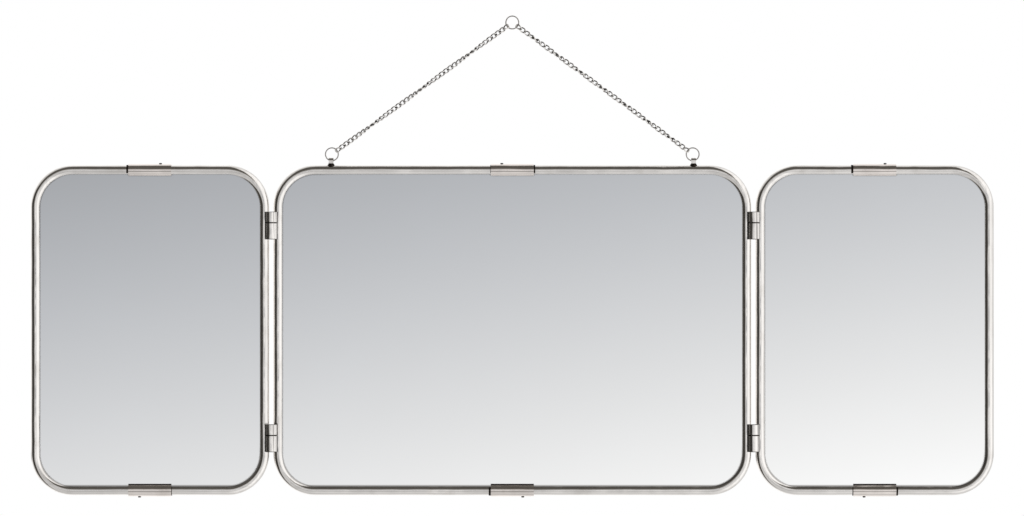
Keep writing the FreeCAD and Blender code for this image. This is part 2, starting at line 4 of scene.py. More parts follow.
import bmesh
import bpy
from mathutils import Matrix, Vector


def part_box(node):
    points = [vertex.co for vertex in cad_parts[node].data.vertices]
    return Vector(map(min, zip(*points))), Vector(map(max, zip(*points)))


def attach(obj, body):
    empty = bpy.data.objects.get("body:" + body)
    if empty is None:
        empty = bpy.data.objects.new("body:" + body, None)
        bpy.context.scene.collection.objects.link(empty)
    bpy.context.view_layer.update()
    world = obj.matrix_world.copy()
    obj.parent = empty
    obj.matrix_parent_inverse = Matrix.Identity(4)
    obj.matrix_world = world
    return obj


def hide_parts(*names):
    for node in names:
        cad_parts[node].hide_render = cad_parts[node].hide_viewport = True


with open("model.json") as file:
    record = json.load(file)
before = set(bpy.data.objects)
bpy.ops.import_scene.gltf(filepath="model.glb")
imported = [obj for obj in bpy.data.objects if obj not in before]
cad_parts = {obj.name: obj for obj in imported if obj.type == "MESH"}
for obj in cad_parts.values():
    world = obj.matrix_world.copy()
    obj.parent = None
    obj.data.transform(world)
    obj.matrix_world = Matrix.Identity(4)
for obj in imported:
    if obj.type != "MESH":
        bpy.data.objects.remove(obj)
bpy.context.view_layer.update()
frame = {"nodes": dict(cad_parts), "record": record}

# The looks of a trifold hanging mirror, in metres, in the frame of its CAD model:
# X to the viewer's right, Y away from the viewer, Z up, origin where the ring rests on its hook.

nodes = frame["nodes"]

# ---- the photograph's framing ----

PHOTO_WIDTH = 1024
PHOTO_HEIGHT = 516
METRES_PER_PIXEL = 0.001
ORIGIN_PIXEL = (512.3, 16.7)
CAMERA_DISTANCE = 6.0
SENSOR_WIDTH = 36.0
CLIP_END = 100

# ---- greys ----

WHITE_LEVEL = 255
SRGB_OFFSET = 0.055
SRGB_SCALE = 1.055
SRGB_POWER = 2.4


def linear(level):
    """An 8-bit grey level of the photograph as a linear value."""
    return ((level / WHITE_LEVEL + SRGB_OFFSET) / SRGB_SCALE) ** SRGB_POWER


def grey(value):
    """A linear value as a colour."""
    return (value, value, value, 1.0)


# ---- meshes ----


def new_object(name, data):
    thing = bpy.data.objects.new(name, data)
    bpy.context.scene.collection.objects.link(thing)
    return thing


def loop_tube(bm, points, normals, radius, sides):
    """Adds a closed round wire along points; normals are unit vectors across the wire at each point."""
    rims = []
    count = len(points)
    for index, (point, normal) in enumerate(zip(points, normals)):
        along = (points[(index + 1) % count] - points[index - 1]).normalized()
        flat = (normal - along * normal.dot(along)).normalized()
        other = along.cross(flat)
        rim = []
        for side in range(sides):
            angle = 2 * math.pi * side / sides
            offset = flat * math.cos(angle) + other * math.sin(angle)
            rim.append(bm.verts.new(point + offset * radius))
        rims.append(rim)
    for index, rim in enumerate(rims):
        following = rims[(index + 1) % count]
        for side in range(sides):
            after = (side + 1) % sides
            bm.faces.new((rim[side], following[side], following[after], rim[after]))


def vertices(bm, points):
    return [bm.verts.new(point) for point in points]


def band(bm, row, following):
    """Adds the faces between two closed rows with the same number of vertices."""
    for index in range(len(row)):
        after = (index + 1) % len(row)
        bm.faces.new((row[index], row[after], following[after], following[index]))


def tube_of_rows(bm, rows):
    """Adds a closed solid from rows of points: a band from each to the next, and a face at each end."""
    rows = [vertices(bm, row) for row in rows]
    for row, following in zip(rows, rows[1:]):
        band(bm, row, following)
    bm.faces.new(rows[0])
    bm.faces.new(rows[-1])


def finished(bm, name, smooth=True):
    """An object from a bmesh."""
    bmesh.ops.recalc_face_normals(bm, faces=bm.faces)
    mesh = bpy.data.meshes.new(name)
    bm.to_mesh(mesh)
    bm.free()
    if smooth:
        mesh.shade_smooth()
    return new_object(name, mesh)


# ---- node trees ----

OCCLUSION_SAMPLES = 8


class Tree:
    """A node tree that is built by calls. Apart from add and feed, they return outputs."""

    def __init__(self, tree):
        self.tree = tree
        tree.nodes.clear()

    def add(self, kind, settings=None, **inputs):
        """Adds a node and returns it. An input's name has _ for each space."""
        node = self.tree.nodes.new("ShaderNode" + kind)
        for key, value in (settings or {}).items():
            setattr(node, key, value)
        for key, value in inputs.items():
            self.feed(node, key.replace("_", " "), value)
        return node

    def feed(self, node, key, value):
        """Gives an input, by its name or its number as text, a value, an output or a node's first output."""
        socket = node.inputs[int(key)] if key.isdigit() else node.inputs[key]
        if isinstance(value, bpy.types.NodeSocket):
            self.tree.links.new(value, socket)
        elif isinstance(value, bpy.types.Node):
            self.tree.links.new(value.outputs[0], socket)
        else:
            socket.default_value = value

    def math(self, operation, first, second=0.0, third=0.0):
        node = self.add("Math", {"operation": operation})
        for index, value in enumerate((first, second, third)):
            self.feed(node, str(index), value)
        return node.outputs[0]

    def positive(self, value):
        """The value, or 0 where it is negative."""
        return self.math("MAXIMUM", value, 0.0)

    def negative(self, value):
        """How far the value is below 0, or 0 where it is positive."""
        return self.positive(self.math("MULTIPLY", value, -1.0))

    def step(self, value, start, end):
        """0 before start, 1 after end and smooth in between; start may be above end."""
        low, high, first, last = (start, end, 0.0, 1.0) if start < end else (end, start, 1.0, 0.0)
        node = self.add("MapRange", {"interpolation_type": "SMOOTHSTEP"})
        for index, number in enumerate((value, low, high, first, last)):
            self.feed(node, str(index), number)
        return node.outputs[0]

    # a Mix node repeats its sockets' names for each type of value, so here they go by number

    def mix(self, factor, first, second):
        """A colour between two colours."""
        node = self.add("Mix", {"data_type": "RGBA"})
        for key, value in (("0", factor), ("6", first), ("7", second)):
            self.feed(node, key, value)
        return node.outputs[2]

    def between(self, factor, first, second):
        """A number between two numbers."""
        node = self.add("Mix", {"data_type": "FLOAT"})
        for key, value in (("0", factor), ("2", first), ("3", second)):
            self.feed(node, key, value)
        return node.outputs[0]

    def coordinates(self, kind):
        """X, Y and Z of one kind of texture coordinates."""
        return self.add("SeparateXYZ", Vector=self.add("TexCoord").outputs[kind]).outputs

    def noise(self, scale, detail, rough, stretch=None):
        """Noise over the object's own metres, stretched where a vector is given."""
        place = self.add("TexCoord").outputs["Object"]
        if stretch:
            place = self.add("Mapping", Vector=place, Scale=stretch).outputs[0]
        texture = self.add("TexNoise", Vector=place, Scale=scale, Detail=detail, Roughness=rough)
        return texture.outputs[0]

    def openness(self, reach):
        """1 in the open, and less where pieces within reach close a point in."""
        node = self.add("AmbientOcclusion", {"samples": OCCLUSION_SAMPLES}, Distance=reach)
        return node.outputs["AO"]


def new_material(name):
    material = bpy.data.materials.new(name)
    material.use_nodes = True
    return material, Tree(material.node_tree)


# ---- colours and patterns of the materials ----

SILVER = (0.915, 0.885, 0.855, 1.0)
WARM_SILVER = (0.945, 0.880, 0.835, 1.0)
OLD_STEEL = (0.42, 0.40, 0.38, 1.0)
DARK_STEEL = (0.10, 0.094, 0.088, 1.0)
TARNISH = (0.50, 0.46, 0.41, 1.0)
# the black of grime, also used for painted shade and painted shadow
GRIME_AND_SHADE = (0.030, 0.024, 0.020, 1.0)
CLEAR_GLASS = (0.900, 0.902, 0.900, 1.0)
HAZY_GLASS = (0.905, 0.908, 0.908, 1.0)
SHADE_AND_DIRT_GLASS = (0.36, 0.35, 0.34, 1.0)
DARK_BOARD = (0.085, 0.055, 0.035, 1.0)
LIGHT_BOARD = (0.20, 0.14, 0.09, 1.0)

# noises: scale per metre, detail and roughness
PATCHES = (38.0, 3.0, 0.55)
SPECKS = (1400.0, 2.0, 0.55)
DULLNESS = (220.0, 4.0, 0.55)
DENTS = (14.0, 3.0, 0.45)
RIPPLE = (420.0, 2.0, 0.55)
WEAR_LINES = (520.0, 2.0, 0.6)
STREAKS = (420.0, 1.0, 0.5)
HAZE = (9.0, 2.0, 0.55)
FIBRES = (1600.0, 4.0, 0.7)
BLOTCHES = (26.0, 3.0, 0.55)

# scales of the coordinates that draw a noise out along one axis
LINES_ALONG_X = (0.015, 1.0, 1.0)
LINES_ALONG_Z = (1.0, 1.0, 0.015)
STREAKS_ALONG_Z = (1.0, 1.0, 0.02)
FIBRES_ALONG_Z = (1.0, 1.0, 0.35)

# where each pattern starts and is full, as the limits of a step over its noise
PATCH_LIMITS = (0.50, 0.74)
SPECK_LIMITS = (0.66, 0.76)
DULL_LIMITS = (0.35, 0.75)
WEAR_LIMITS = (0.46, 0.66)
STREAK_LIMITS = (0.56, 0.62)
HAZE_LIMITS = (0.4, 0.8)
BOARD_LIMITS = (0.3, 0.7)

# the relief of the metal and the board: strength and distance of a bump
DENT_RELIEF = (1.0, 0.004)
RIPPLE_RELIEF = (0.04, 0.0004)
FIBRE_RELIEF = (0.35, 0.0003)

# roughness: what wear adds to the metal's, and the least and the most of the glass's and the board's
WORN_ROUGHNESS = 0.12
GLASS_ROUGHNESS = (0.006, 0.012)
BOARD_ROUGHNESS = (0.6, 0.85)

# how much of the board's tone comes from its fibres
FIBRE_SHARE = 0.6

# ---- where wear, dirt, darkening, painted shade and a painted reflection lie on the metal ----

TUBE_RADIUS = 0.005
SLEEVE_RADIUS = 0.00625
EYELET_CROWN_RADIUS = 0.003
EYELET_NECK_DROP = 0.0026
LIP_RISE = 0.0043
SLEEVE_LINE_DROP = 0.0012
TUBE_BAND = 0.012
TUBE_BAND_FADE = 0.004
DIAGONAL = math.sqrt(0.5)

# how much each kind of wear, dirt, painted shade and painted reflection darkens
WEAR_DIRT = 0.13
STREAK_DIRT = 0.55
KNUCKLE_SIDE_SHADE = 0.7
LEDGE_SHADE = 0.75
RIGHT_CORNER_SHADE = 0.85
LEFT_CORNER_SHADE = 0.5
SLEEVE_LINE_REFLECTION = 0.5

# limits of steps over a height above the eyelet's neck or the bottom tubes' lip
NECK_LIMITS = (0.0003, -0.0005)
LEDGE_HEIGHT_LIMITS = (0.0013, 0.0005)
CORNER_HEIGHT_LIMITS = (0.040, 0.022)

# limits of steps over the distance from the middle of a line
KNUCKLE_END_LIMITS = (0.0008, 0.0003)
SLEEVE_LINE_LIMITS = (0.0006, 0.0002)

# limits of steps over how far the surface faces one way
KNUCKLE_SIDE_LIMITS = (0.89, 0.97)
LEDGE_LIMITS = (0.55, 0.75)
RIGHT_CORNER_LIMITS = (0.42, 0.62)
LEFT_CORNER_START = (0.52, 0.66)
LEFT_CORNER_END = (0.90, 0.80)

# the openness at which the painted shade and grime of a seam start, where a material doesn't say its own,
# and how much less of it makes them full
SEAM_SHADE_START = 0.42
SEAM_SHADE_FADE = 0.3

# decimal places of a metre to which two ends of knuckles are the same
LEVEL_DIGITS = 4

KNUCKLES = [
    f"{side}_{level}_hinge_{half}_knuckle"
    for side in ("left", "right")
    for level in ("upper", "lower")
    for half in ("centre", "side")
]


def heights(level, rises):
    """The heights that lie so far above a level, as the limits of a step."""
    return [level + rise for rise in rises]


def lip_height():
    """The height at which the glass goes into the bottom tubes."""
    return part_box("centre_frame_left_half")[0].z + TUBE_RADIUS + LIP_RISE


def eyelet_dirt(t):
    """Darker on an eyelet's flared foot, below the neck."""
    up = t.coordinates("Object")[2]
    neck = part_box("left_eyelet")[1].z - EYELET_CROWN_RADIUS - EYELET_NECK_DROP
    return t.step(up, *heights(neck, NECK_LIMITS))


def hinge_dirt(t):
    """Painted shade and dark joints at the knuckles' ends, painted shade on the sides toward the tubes, and
    streaks.
    """
    up = t.coordinates("Object")[2]
    nearest = 1.0

    # the ends of the knuckles, with those that meet taken as one
    corners = [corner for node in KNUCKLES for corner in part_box(node)]
    for level in sorted({round(corner.z, LEVEL_DIGITS) for corner in corners}):
        gap = t.math("ABSOLUTE", t.math("SUBTRACT", up, level))
        nearest = t.math("MINIMUM", gap, nearest)

    ends = t.step(nearest, *KNUCKLE_END_LIMITS)
    streaks = t.step(t.noise(*STREAKS, stretch=STREAKS_ALONG_Z), *STREAK_LIMITS)
    sides = t.step(t.math("ABSOLUTE", t.coordinates("Normal")[0]), *KNUCKLE_SIDE_LIMITS)
    # painted shade and dark joints at the knuckles' ends, and painted shade on the sides toward the tubes
    dark = t.math("MAXIMUM", ends, t.math("MULTIPLY", sides, KNUCKLE_SIDE_SHADE))
    return t.math("MAXIMUM", dark, t.math("MULTIPLY", streaks, STREAK_DIRT))


def wear_lines(t):
    """Faint lines of wear that run along the tube: along X at the top and bottom, else along Z."""
    low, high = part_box("centre_frame_left_half")
    top = high.z - TUBE_BAND
    bottom = low.z + TUBE_BAND
    up = t.coordinates("Object")[2]
    over = t.step(up, top - TUBE_BAND_FADE, top)
    under = t.step(up, bottom + TUBE_BAND_FADE, bottom)
    level = t.noise(*WEAR_LINES, stretch=LINES_ALONG_X)
    upright = t.noise(*WEAR_LINES, stretch=LINES_ALONG_Z)
    lines = t.between(t.math("MAXIMUM", over, under), upright, level)
    return t.math("MULTIPLY", t.step(lines, *WEAR_LIMITS), WEAR_DIRT)


def tube_dirt(t):
    """The lines of wear, and painted shade along the glass at the bottom and in the lower corners."""
    rightward, _, upward = t.coordinates("Normal")
    up = t.coordinates("Object")[2]
    lip = lip_height()
    at_ledge = t.step(up, *heights(lip, LEDGE_HEIGHT_LIMITS))
    at_corner = t.step(up, *heights(lip, CORNER_HEIGHT_LIMITS))

    # painted shade on the ledge where the bottom tubes go into the glass
    ledge = t.math("MULTIPLY", t.step(upward, *LEDGE_LIMITS), at_ledge)
    dirt_and_shade = t.math("MULTIPLY", ledge, LEDGE_SHADE)

    # painted shade in the lower right corners
    up_left = t.math("MULTIPLY", t.math("SUBTRACT", upward, rightward), DIAGONAL)
    corner = t.math("MULTIPLY", t.step(up_left, *RIGHT_CORNER_LIMITS), at_corner)
    dirt_and_shade = t.math("MAXIMUM", dirt_and_shade, t.math("MULTIPLY", corner, RIGHT_CORNER_SHADE))

    # a line of painted shade in the lower left corners
    up_right = t.math("MULTIPLY", t.math("ADD", upward, rightward), DIAGONAL)
    starts = t.step(up_right, *LEFT_CORNER_START)
    ends = t.step(up_right, *LEFT_CORNER_END)
    line = t.math("MULTIPLY", t.math("MULTIPLY", starts, ends), at_corner)
    dirt_and_shade = t.math("MAXIMUM", dirt_and_shade, t.math("MULTIPLY", line, LEFT_CORNER_SHADE))
    return t.math("MAXIMUM", dirt_and_shade, wear_lines(t))


def sleeve_dirt(t):
    """The tubes' lines of wear, and a painted reflection: a darker line along each sleeve just below its
    middle.
    """
    up = t.coordinates("Object")[2]
    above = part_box("centre_top_sleeve")[1].z - SLEEVE_RADIUS - SLEEVE_LINE_DROP
    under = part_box("centre_bottom_sleeve")[0].z + SLEEVE_RADIUS - SLEEVE_LINE_DROP
    gaps = [t.math("ABSOLUTE", t.math("SUBTRACT", up, level)) for level in (above, under)]
    # a painted reflection of a dark line, just below each sleeve's middle
    line = t.step(t.math("MINIMUM", *gaps), *SLEEVE_LINE_LIMITS)
    return t.math("MAXIMUM", t.math("MULTIPLY", line, SLEEVE_LINE_REFLECTION), wear_lines(t))


# ---- materials ----


def old_metal(name, clean, wear, smooth, rough, seam_shade_reach, seam_shade_start=SEAM_SHADE_START, dirt_and_shade=None):
    """Old plated steel: bright, yellowed in patches, dull where it is handled, and dark in the seams with
    painted shade and grime.
    """
    material, t = new_material(name)
    patches = t.step(t.noise(*PATCHES), *PATCH_LIMITS)
    specks = t.step(t.noise(*SPECKS), *SPECK_LIMITS)
    worn = t.math("MULTIPLY", patches, wear)
    tarnished = tuple(part * whole for part, whole in zip(clean, TARNISH))
    colour = t.mix(worn, clean, tarnished)
    colour = t.mix(t.math("MULTIPLY", specks, wear), colour, GRIME_AND_SHADE)
    # painted shade and grime in the seams, where the ambient occlusion closes a point in
    openness = t.openness(seam_shade_reach)
    seam_shade_and_grime = t.step(openness, seam_shade_start, seam_shade_start - SEAM_SHADE_FADE)
    colour = t.mix(seam_shade_and_grime, colour, GRIME_AND_SHADE)
    # then each part's own wear, dirt, darkening, painted shade and painted reflection
    if dirt_and_shade:
        colour = t.mix(dirt_and_shade(t), colour, GRIME_AND_SHADE)
    roughness = t.between(t.step(t.noise(*DULLNESS), *DULL_LIMITS), smooth, rough)
    roughness = t.math("MULTIPLY_ADD", worn, WORN_ROUGHNESS, roughness)
    strength, distance = DENT_RELIEF
    dents = t.add("Bump", Strength=strength, Distance=distance, Height=t.noise(*DENTS))
    strength, distance = RIPPLE_RELIEF
    ripple = t.noise(*RIPPLE)
    relief = t.add("Bump", Strength=strength, Distance=distance, Height=ripple, Normal=dents)
    shader = t.add(
        "BsdfPrincipled", Base_Color=colour, Metallic=1.0, Roughness=roughness, Normal=relief
    )
    t.add("OutputMaterial", Surface=shader)
    return material


# the painted shade and dirt along the glass's edge, in metres, openness and shares of a pane's width and
# height
EDGE_REACH = 0.0016
EDGE_LIMITS = (0.97, 0.62)
WIDE_EDGE_LIMITS = (1.0, 0.86)
LEFT_PART = (0.16, 0.06)
RIGHT_PART = (0.78, 0.88)
LOWER_PART = (0.16, 0.10)
FOOT_LIMITS = (0.0015, 0.0007)
FOOT_SHADE = 0.88


def mirror_glass():
    """Silvered glass, with a thin line of shadow and dirt where it goes into the tube."""
    material, t = new_material("silvered_glass")
    haze = t.step(t.noise(*HAZE), *HAZE_LIMITS)
    colour = t.mix(haze, CLEAR_GLASS, HAZY_GLASS)
    # a line of painted shade and dirt where the glass goes into the tube, darker where the ambient occlusion
    # is lower
    openness = t.openness(EDGE_REACH)
    shade = t.step(openness, *EDGE_LIMITS)

    # the line is wider on the left and at the lower right
    across, _, up = t.coordinates("Generated")
    lower_right = t.math("MULTIPLY", t.step(across, *RIGHT_PART), t.step(up, *LOWER_PART))
    wider_line = t.math("MAXIMUM", t.step(across, *LEFT_PART), lower_right)
    border = t.math("MULTIPLY", t.step(openness, *WIDE_EDGE_LIMITS), wider_line)
    shade = t.math("MAXIMUM", shade, border)

    # and darkest along the foot
    at_foot = t.step(t.coordinates("Object")[2], *heights(lip_height(), FOOT_LIMITS))
    shade = t.math("MAXIMUM", shade, t.math("MULTIPLY", at_foot, FOOT_SHADE))
    colour = t.mix(shade, colour, SHADE_AND_DIRT_GLASS)
    roughness = t.between(haze, *GLASS_ROUGHNESS)
    shader = t.add("BsdfPrincipled", Base_Color=colour, Metallic=1.0, Roughness=roughness)
    t.add("OutputMaterial", Surface=shader)
    return material


def hardboard():
    """Dark brown pressed board: fine fibres over soft blotches."""
    material, t = new_material("hardboard")
    fibres = t.noise(*FIBRES, stretch=FIBRES_ALONG_Z)
    blotches = t.math("MULTIPLY", t.noise(*BLOTCHES), 1 - FIBRE_SHARE)
    tone = t.math("MULTIPLY_ADD", fibres, FIBRE_SHARE, blotches)
    colour = t.mix(t.step(tone, *BOARD_LIMITS), DARK_BOARD, LIGHT_BOARD)
    strength, distance = FIBRE_RELIEF
    relief = t.add("Bump", Strength=strength, Distance=distance, Height=fibres)
    roughness = t.between(fibres, *BOARD_ROUGHNESS)
    shader = t.add("BsdfPrincipled", Base_Color=colour, Roughness=roughness, Normal=relief)
    t.add("OutputMaterial", Surface=shader)
    return material


materials = {
    "frame_tube": old_metal(
        "plated_tube", SILVER, wear=0.25, smooth=0.07, rough=0.14, seam_shade_reach=0.0016, dirt_and_shade=tube_dirt
    ),
    "sleeves": old_metal(
        "plated_sleeve", WARM_SILVER, wear=0.25, smooth=0.07, rough=0.14, seam_shade_reach=0.0016,
        dirt_and_shade=sleeve_dirt,
    ),
    "hinges": old_metal(
        "plated_hinge", SILVER, wear=0.15, smooth=0.10, rough=0.18, seam_shade_reach=0.0040,
        seam_shade_start=0.95, dirt_and_shade=hinge_dirt,
    ),
    "eyelets": old_metal(
        "plated_eyelet", SILVER, wear=0.5, smooth=0.12, rough=0.20, seam_shade_reach=0.0016,
        dirt_and_shade=eyelet_dirt,
    ),
    "rings": old_metal(
        "ring_wire", OLD_STEEL, wear=0.5, smooth=0.12, rough=0.22, seam_shade_reach=0.0020, seam_shade_start=0.80
    ),
    "chain": old_metal(
        "chain_wire", SILVER, wear=0.2, smooth=0.08, rough=0.14, seam_shade_reach=0.0030, seam_shade_start=1.02
    ),
    "steel_fixings": old_metal(
        "steel_fixings", DARK_STEEL, wear=0.5, smooth=0.16, rough=0.30, seam_shade_reach=0.0008
    ),
    "mirror_glass": mirror_glass(),
    "backing_board": hardboard(),
}
# plain black for the bands and lines of painted shadow and grime at the sleeves
shadow_and_grime = old_metal("shadow_and_grime", GRIME_AND_SHADE, wear=0.0, smooth=0.5, rough=0.8, seam_shade_reach=0.0008)

for row in frame["record"]["subparts"]:
    mesh = nodes[row["node"]].data
    mesh.materials.clear()
    part = "sleeves" if row["node"].endswith("_sleeve") else row["material_slot"]
    mesh.materials.append(materials[part])

# ---- rings and chain ----

RING_DIAMETER = 0.014
RING_WIRE = 0.0012
RING_POINTS = 64
WIRE_SIDES = 10
LINK_POINTS = 28
LINK_WIRE = 0.00135
LINK_WIDTH = 0.0055
LINK_SADDLE = 0.0009
LINK_PITCH = 0.0049
LINK_PLAY = 0.00012
RING_PLAY = 0.0002
LEFT_HALF_TURNS = 3
RIGHT_HALF_TURNS = 7
CAD_LINK_CORNERS = 8


def ring_centre(node):
    """The middle of a ring, in the plane of the tubes' axes."""
    low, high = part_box(node)
    centre = (low + high) / 2
    centre.y = 0
    return centre


def wire_ring(node, body):
    """A smooth ring in the place of a faceted one."""
    centre = ring_centre(node)
    radius = (RING_DIAMETER - RING_WIRE) / 2
    bm = bmesh.new()
    turns = [2 * math.pi * index / RING_POINTS for index in range(RING_POINTS)]
    spokes = [Vector((math.cos(turn), 0, math.sin(turn))) for turn in turns]
    loop_tube(bm, [centre + spoke * radius for spoke in spokes], spokes, RING_WIRE / 2, WIRE_SIDES)
    ring = finished(bm, node + "_wire")
    ring.data.materials.append(materials["rings"])
    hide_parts(node)
    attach(ring, body)


def link_curve(length, width, rise):
    """A curb link's centreline along X: an oval whose four quarters bend up and down by turns."""
    points = []
    for index in range(LINK_POINTS):
        turn = 2 * math.pi * (index + 0.5) / LINK_POINTS
        oval = (length * math.cos(turn), width * math.sin(turn), rise * math.sin(2 * turn))
        points.append(Vector(oval))
    return points


def chain_run(node, start_ring, half_turns):
    """The links between an eyelet's ring and the top ring, with the CAD model's pitch and twist.

    The whole run lies a quarter turn off the CAD model's, so its end links cut into the rings' wire.
    """
    start = ring_centre(start_ring)
    end = ring_centre("top_hanging_ring")
    along = (end - start).normalized()
    ring_radius = (RING_DIAMETER - RING_WIRE) / 2
    hook = ring_radius - (LINK_WIRE + RING_WIRE) / 2 - RING_PLAY
    crossing = LINK_WIRE + LINK_PLAY
    run = (end - start).length - 2 * hook
    count = round((run - crossing) / LINK_PITCH)
    pitch = (run - crossing) / count
    length = (pitch + crossing) / 2
    width = (LINK_WIDTH - LINK_WIRE) / 2

    # the twist from the first link to the last, as in the CAD model, from a start that isn't
    step = 2 * math.pi / CAD_LINK_CORNERS
    tilt = math.atan2(LINK_SADDLE * math.sin(step), width * math.tan(step / 2))
    first_turn = tilt - math.pi / 2
    whole_turn = math.pi * half_turns + 2 * tilt

    across = Vector((0, 0, -1)).cross(along).normalized()
    lay = Matrix((along, across, along.cross(across))).transposed()
    curve = link_curve(length, width, LINK_SADDLE)
    bm = bmesh.new()
    for index in range(count):
        twist = Matrix.Rotation(first_turn - whole_turn * index / (count - 1), 3, "X")
        turned = lay @ twist
        middle = start + along * (hook + length + index * pitch)
        points = [middle + turned @ point for point in curve]
        normals = [turned @ Vector((0, 0, 1))] * LINK_POINTS
        loop_tube(bm, points, normals, LINK_WIRE / 2, WIRE_SIDES)
    chain = finished(bm, node + "_links")
    chain.data.materials.append(materials["chain"])
    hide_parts(node)
    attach(chain, "chain_hanger")


wire_ring("top_hanging_ring", "top_ring")
wire_ring("left_eyelet_ring", "chain_hanger")
wire_ring("right_eyelet_ring", "chain_hanger")
chain_run("left_chain", "left_eyelet_ring", LEFT_HALF_TURNS)
chain_run("right_chain", "right_eyelet_ring", RIGHT_HALF_TURNS)

# ---- sleeve screws, and the painted shadow and grime at the sleeves' ends and along their lips ----

SCREW_RADIUS = 0.0011
SCREW_LENGTH = 0.0035
HEAD_RADIUS = 0.0017
HEAD_TOP_RADIUS = 0.0012
HEAD_HEIGHT = 0.001
SLOT_DEPTH = 0.0006
SLOT_HALF_WIDTH = 0.00025
SLOT_TURN = math.radians(35)
SCREW_POINTS = 16
BEAD_RISE = 0.00035
BEAD_SINK = 0.0001
BEAD_HALF_ARC = math.radians(125)
BEAD_STEPS = 40
LIP_SHADOW_RISE = 0.0001
LIP_SHADOW_WIDTH = 0.0009
BODIES = {"left": "left_mirror", "centre": "centre_mirror", "right": "right_mirror"}

# how far the painted shadow and grime at a sleeve's left end (-1) or right end (1) reaches along the tube
SHADOWED_ENDS = {
    "left_top_sleeve": {-1: 0.0020},
    "centre_top_sleeve": {-1: 0.0005, 1: 0.0014},
    "right_top_sleeve": {-1: 0.0021},
    "left_bottom_sleeve": {1: 0.0006},
    "centre_bottom_sleeve": {-1: 0.0021},
    "right_bottom_sleeve": {-1: 0.0008, 1: 0.0018},
}


def half_ring(radius, rise, side):
    """Points round one side of a ring, from one edge of the slot to the other."""
    cut = math.acos(SLOT_HALF_WIDTH / radius)
    middle = 0.0 if side > 0 else math.pi
    turns = [middle + cut * (2 * index / (SCREW_POINTS - 1) - 1) for index in range(SCREW_POINTS)]
    return [Vector((radius * math.cos(turn), radius * math.sin(turn), rise)) for turn in turns]


def slotted_screw(node, body, points_up):
    """A round-headed screw with a slot, one closed shell in the place of a plain one."""
    low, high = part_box(node)
    seat_z = high.z - HEAD_HEIGHT if points_up else low.z + HEAD_HEIGHT
    seat = Vector(((low.x + high.x) / 2, 0, seat_z))
    slot_floor = HEAD_HEIGHT - SLOT_DEPTH
    floor_radius = HEAD_RADIUS + (HEAD_TOP_RADIUS - HEAD_RADIUS) * slot_floor / HEAD_HEIGHT
    bm = bmesh.new()

    # the shank, and the head up to the slot's floor
    rows = []
    for radius, rise in (
        (SCREW_RADIUS, -SCREW_LENGTH),
        (SCREW_RADIUS, 0.0),
        (HEAD_RADIUS, 0.0),
        (floor_radius, slot_floor),
    ):
        halves = [half_ring(radius, rise, side) for side in (1, -1)]
        rows.append(vertices(bm, halves[0] + halves[1]))
    bm.faces.new(rows[0])
    for row, following in zip(rows, rows[1:]):
        band(bm, row, following)

    # the slot's floor, and the head's two halves beside it
    lands = (rows[-1][:SCREW_POINTS], rows[-1][SCREW_POINTS:])
    bm.faces.new((lands[0][-1], lands[1][0], lands[1][-1], lands[0][0]))
    for land, side in zip(lands, (1, -1)):
        top = vertices(bm, half_ring(HEAD_TOP_RADIUS, HEAD_HEIGHT, side))
        band(bm, land, top)
        bm.faces.new(top)

    flip = 1 if points_up else -1
    place = Matrix.Translation(seat) @ Matrix.Diagonal((1, flip, flip, 1))
    bmesh.ops.transform(bm, matrix=place @ Matrix.Rotation(SLOT_TURN, 4, "Z"), verts=bm.verts)
    screw = finished(bm, node + "_slotted", smooth=False)
    screw.data.materials.append(materials["steel_fixings"])
    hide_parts(node)
    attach(screw, body)


def dirt_bead(node, body, end, length, on_top):
    """A black band of painted shadow and grime round the tube, where it goes into one end of its sleeve."""
    low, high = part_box(node)
    start, side = (high.x, "_right") if end > 0 else (low.x - length, "_left")
    axis_z = high.z - SLEEVE_RADIUS if on_top else low.z + SLEEVE_RADIUS
    outward = math.pi / 2 if on_top else -math.pi / 2
    inner = TUBE_RADIUS - BEAD_SINK
    outer = TUBE_RADIUS + BEAD_RISE
    rims = []
    for index in range(BEAD_STEPS + 1):
        turn = outward + BEAD_HALF_ARC * (2 * index / BEAD_STEPS - 1)
        spoke = Vector((0, math.cos(turn), math.sin(turn)))
        rim = []
        for along, radius in ((0, inner), (0, outer), (length, outer), (length, inner)):
            rim.append(Vector((start + along, 0, axis_z)) + spoke * radius)
        rims.append(rim)
    bm = bmesh.new()
    tube_of_rows(bm, rims)
    bead = finished(bm, node + side + "_dirt", smooth=False)
    bead.data.materials.append(shadow_and_grime)
    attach(bead, body)


def lip_dirt(node, body):
    """A black line of painted shadow and grime on the glass, along the upper lip of a bottom sleeve."""
    low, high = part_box(node)
    glass_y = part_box(node.split("_")[0] + "_mirror_glass")[0].y
    lip_z = low.z + SLEEVE_RADIUS + math.sqrt(SLEEVE_RADIUS ** 2 - glass_y ** 2)
    corners = (
        (low.x, -LIP_SHADOW_RISE),
        (high.x, -LIP_SHADOW_RISE),
        (high.x, LIP_SHADOW_WIDTH),
        (low.x, LIP_SHADOW_WIDTH),
    )
    rows = []
    for y in (glass_y - LIP_SHADOW_RISE, glass_y + LIP_SHADOW_RISE):
        rows.append([Vector((x, y, lip_z + rise)) for x, rise in corners])
    bm = bmesh.new()
    tube_of_rows(bm, rows)
    line = finished(bm, node + "_lip_dirt", smooth=False)
    line.data.materials.append(shadow_and_grime)
    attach(line, body)


for node, ends in SHADOWED_ENDS.items():
    body = BODIES[node.split("_")[0]]
    on_top = "_top_" in node
    for end, length in ends.items():
        dirt_bead(node, body, end, length, on_top)
    slotted_screw(node + "_screw", body, on_top)
    if not on_top:
        lip_dirt(node, body)

# ---- floor ----

